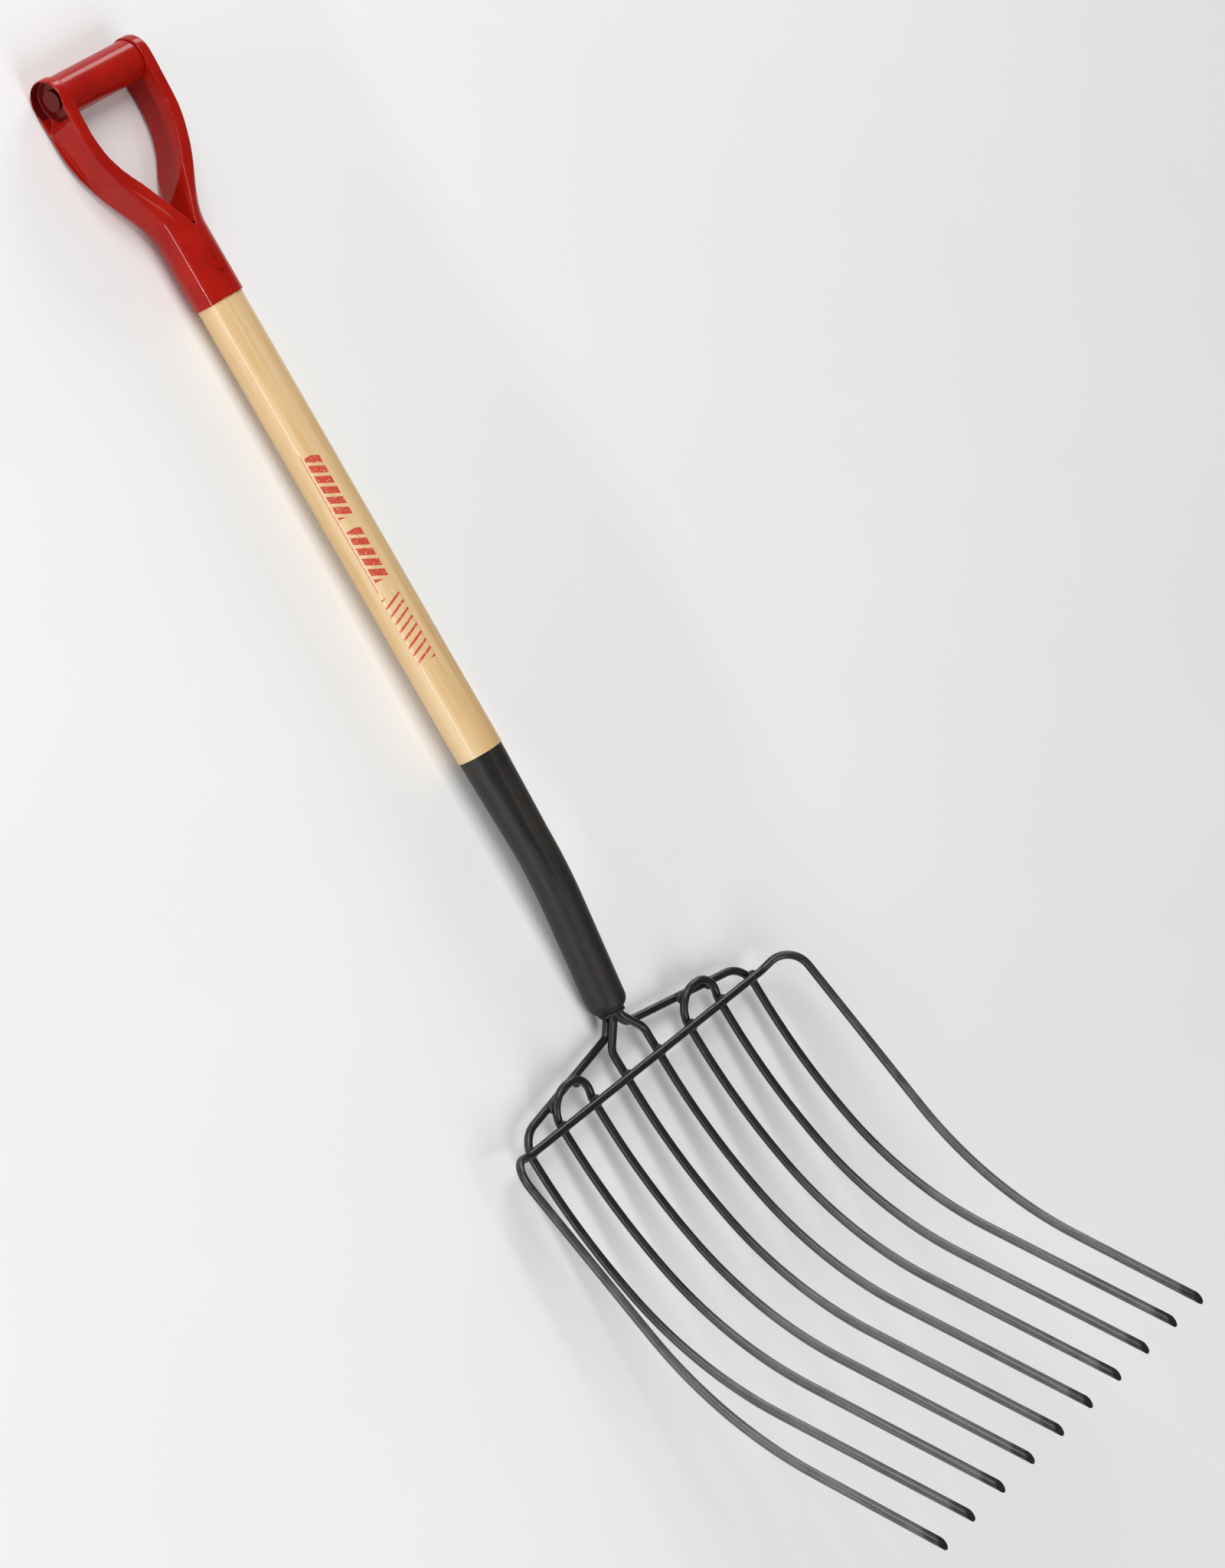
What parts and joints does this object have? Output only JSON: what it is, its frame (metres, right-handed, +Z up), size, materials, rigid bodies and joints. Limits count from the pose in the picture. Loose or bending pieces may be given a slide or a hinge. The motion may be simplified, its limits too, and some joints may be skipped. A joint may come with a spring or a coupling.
{
  "type": "bedding fork",
  "caption": "Welded steel fork with rows of curved round tines, a bent ferrule, a straight wood shaft and a stamped-steel D-handle.",
  "frame": {"origin": "on the ground under the middle of the bounding box, with the fork lying hollow side up on its handle and the belly of its ferrule", "axes": "+X along the fork from the hand grip to the tine tips, +Y across the tines, +Z up, to the hollow side of the tines"},
  "size_m": [1.2074, 0.3564, 0.2413],
  "materials": {
    "red_enamel": "glossy red baked enamel on stamped sheet steel",
    "red_grip_enamel": "glossy red enamel on a turned hardwood barrel",
    "pin_steel": "steel rod with red enamel on its heads",
    "red_rivet_enamel": "round steel rivet heads under red enamel",
    "lacquered_wood": "pale straight-grained hardwood under clear lacquer",
    "ferrule_paint": "satin brown-black paint on rolled sheet steel",
    "tine_paint": "dark green-grey paint on spring-steel rod, dulled towards the tips",
    "weld_metal": "painted weld beads"
  },
  "bodies": {
    "root": {"yoke_right": "red_enamel", "yoke_left": "red_enamel", "grip_barrel": "red_grip_enamel", "grip_pin": "pin_steel", "socket_rivet": "red_rivet_enamel", "wood_shaft": "lacquered_wood", "ferrule": "ferrule_paint", "ferrule_nail": "ferrule_paint", "frame_rod": "tine_paint", "centre_tine_right": "tine_paint", "centre_tine_left": "tine_paint", "looped_tines_right": "tine_paint", "looped_tines_left": "tine_paint", "brace_tine_right": "tine_paint", "brace_tine_left": "tine_paint", "crossbar_welds": "weld_metal", "brace_welds": "weld_metal", "nose_weld": "weld_metal"}
  },
  "joints": []
}
